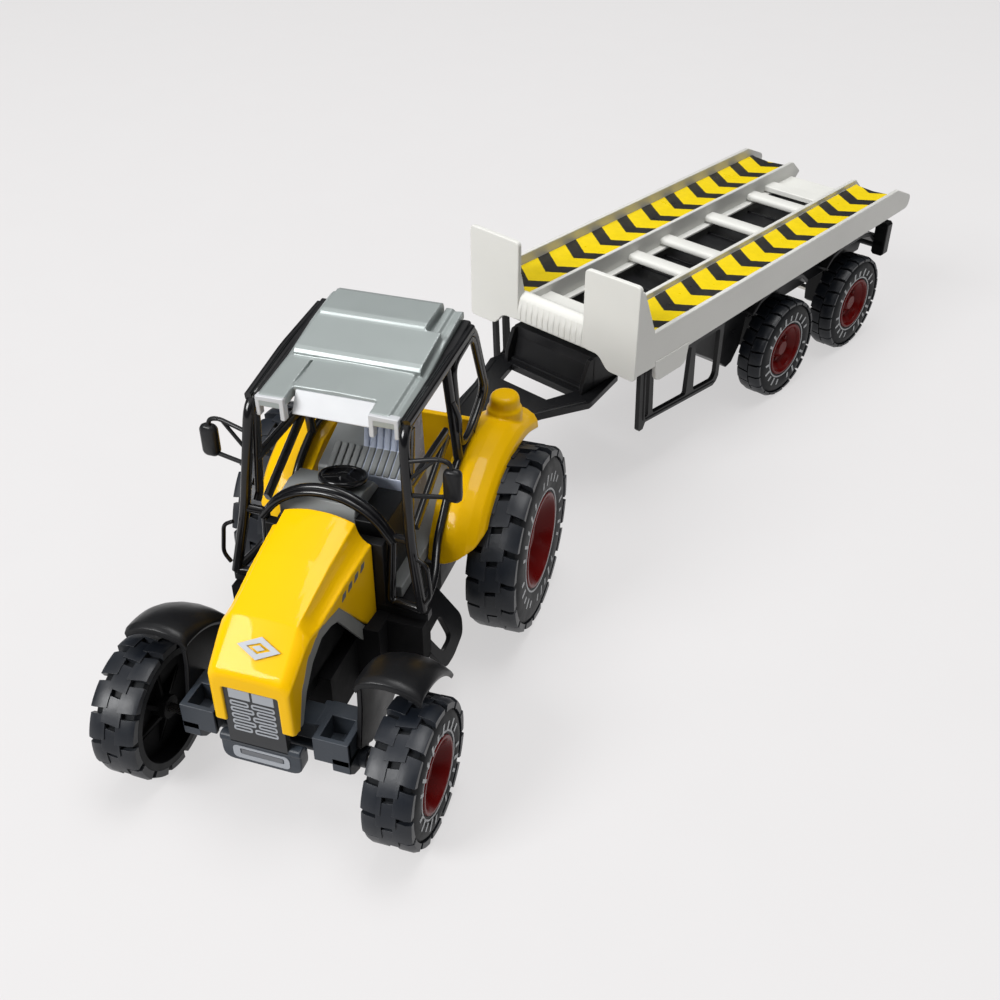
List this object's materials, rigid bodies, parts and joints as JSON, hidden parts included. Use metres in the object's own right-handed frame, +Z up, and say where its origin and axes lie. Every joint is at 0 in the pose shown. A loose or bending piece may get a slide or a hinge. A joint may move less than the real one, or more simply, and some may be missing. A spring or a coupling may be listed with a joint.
{
  "type": "toy tractor with ramp trailer",
  "caption": "Toy farm tractor with an open cab, steering front axle and rolling wheels, towing a twin-runway ramp trailer that swings on a tow peg.",
  "frame": {"origin": "centre of the base of the whole assembly, on the ground", "axes": "+Z up; the tractor faces -Y and +X is its left; the trailer trails towards +Y, swung to the tractor's left"},
  "size_m": [0.1442, 0.305, 0.0812],
  "materials": {
    "yellow_paint": "gloss",
    "black_plastic": "satin",
    "gloss_black_plastic": "gloss",
    "dark_grey_plastic": "satin",
    "tyre": "satin",
    "red_rim": "satin",
    "steel": "plain",
    "silver_paint": "satin metallic",
    "silver_plastic": "satin metallic",
    "light_grey_paint": "satin",
    "hazard_print": "printed film"
  },
  "bodies": {
    "tractor": {"chassis": "black_plastic", "tow_hitch": "black_plastic", "steering_pivot_screw": "steel", "hood": "yellow_paint", "grille_liner": "dark_grey_plastic", "front_weight": "black_plastic", "rear_fenders": "yellow_paint", "cab_interior": "silver_plastic", "steering_wheel": "black_plastic", "cab_frame": "gloss_black_plastic", "mirror_left": "black_plastic", "mirror_right": "black_plastic", "roof": "silver_paint", "chassis_screws": "steel"},
    "front_axle": {"front_axle_beam": "black_plastic", "front_fender_left": "black_plastic", "front_fender_right": "black_plastic"},
    "front_wheels": {"front_axle": "steel", "front_tyre_left": "tyre", "front_tyre_right": "tyre", "front_rim_left": "red_rim", "front_rim_right": "red_rim"},
    "rear_wheels": {"rear_axle": "steel", "rear_tyre_left": "tyre", "rear_tyre_right": "tyre", "rear_rim_left": "red_rim", "rear_rim_right": "red_rim"},
    "trailer": {"trailer_deck": "light_grey_paint", "trailer_chassis": "black_plastic", "drawbar": "black_plastic", "side_guard_left": "black_plastic", "side_guard_right": "black_plastic", "hazard_strip_left": "hazard_print", "hazard_strip_right": "hazard_print", "trailer_screws": "steel"},
    "trailer_front_wheels": {"trailer_front_axle": "steel", "trailer_front_tyre_left": "tyre", "trailer_front_tyre_right": "tyre", "trailer_front_rim_left": "red_rim", "trailer_front_rim_right": "red_rim"},
    "trailer_rear_wheels": {"trailer_rear_axle": "steel", "trailer_rear_tyre_left": "tyre", "trailer_rear_tyre_right": "tyre", "trailer_rear_rim_left": "red_rim", "trailer_rear_rim_right": "red_rim"}
  },
  "joints": [
    {"name": "steer", "type": "hinge", "parent": "tractor", "child": "front_axle", "pos_m": [-0.03631, -0.13683, 0.022], "axis": [0, 0, 1], "range_deg": [-10, 10]},
    {"name": "front_roll", "type": "hinge", "parent": "front_axle", "child": "front_wheels", "pos_m": [-0.03631, -0.13683, 0.0157], "axis": [1, 0, 0], "continuous": true},
    {"name": "rear_roll", "type": "hinge", "parent": "tractor", "child": "rear_wheels", "pos_m": [-0.03631, -0.06603, 0.023], "axis": [1, 0, 0], "continuous": true},
    {"name": "hitch_swing", "type": "hinge", "parent": "tractor", "child": "trailer", "pos_m": [-0.03631, -0.03863, 0.0277], "axis": [0, 0, 1], "range_deg": [-35.6, 84.4]},
    {"name": "trailer_front_roll", "type": "hinge", "parent": "trailer", "child": "trailer_front_wheels", "pos_m": [0.0148, 0.07402, 0.016], "axis": [0.9107, -0.4131, 0], "continuous": true},
    {"name": "trailer_rear_roll", "type": "hinge", "parent": "trailer", "child": "trailer_rear_wheels", "pos_m": [0.03264, 0.11336, 0.016], "axis": [0.9107, -0.4131, 0], "continuous": true}
  ]
}
